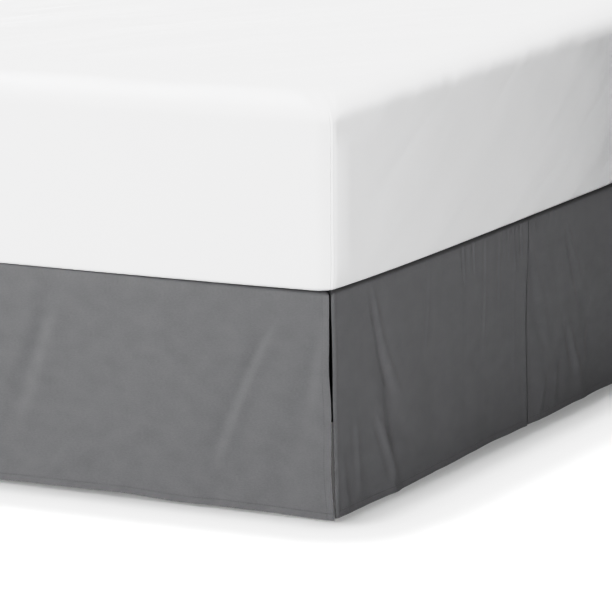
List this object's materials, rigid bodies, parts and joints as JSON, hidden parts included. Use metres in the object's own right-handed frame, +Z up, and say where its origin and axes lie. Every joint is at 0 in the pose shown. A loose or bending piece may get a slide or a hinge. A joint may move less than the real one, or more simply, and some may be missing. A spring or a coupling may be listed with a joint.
{
  "type": "bed skirt on a bed",
  "caption": "Tailored charcoal bed skirt with split corners and centre pleats, hanging from its deck off a plain bed base under a mattress in a white fitted sheet.",
  "frame": {"origin": "on the floor under the middle of the bed, at the middle of the overall box", "axes": "+Z up, -Y the foot end with its short drop, +Y the open head end, +X the bed's right side seen from its foot"},
  "size_m": [1.549, 2.0526, 0.7146],
  "materials": {
    "skirt_cloth": "fine brushed microfibre, matt with a faint sheen",
    "sheet_cloth": "fine plain white cloth, matt",
    "base_cloth": "plain woven cover, matt",
    "leg_paint": "satin"
  },
  "bodies": {
    "root": {"mattress": "sheet_cloth", "deck": "skirt_cloth", "foot_drop": "skirt_cloth", "left_drop": "skirt_cloth", "right_drop": "skirt_cloth", "bed_base": "base_cloth", "leg_left_1": "leg_paint", "leg_left_2": "leg_paint", "leg_left_3": "leg_paint", "leg_right_1": "leg_paint", "leg_right_2": "leg_paint", "leg_right_3": "leg_paint"}
  },
  "joints": []
}
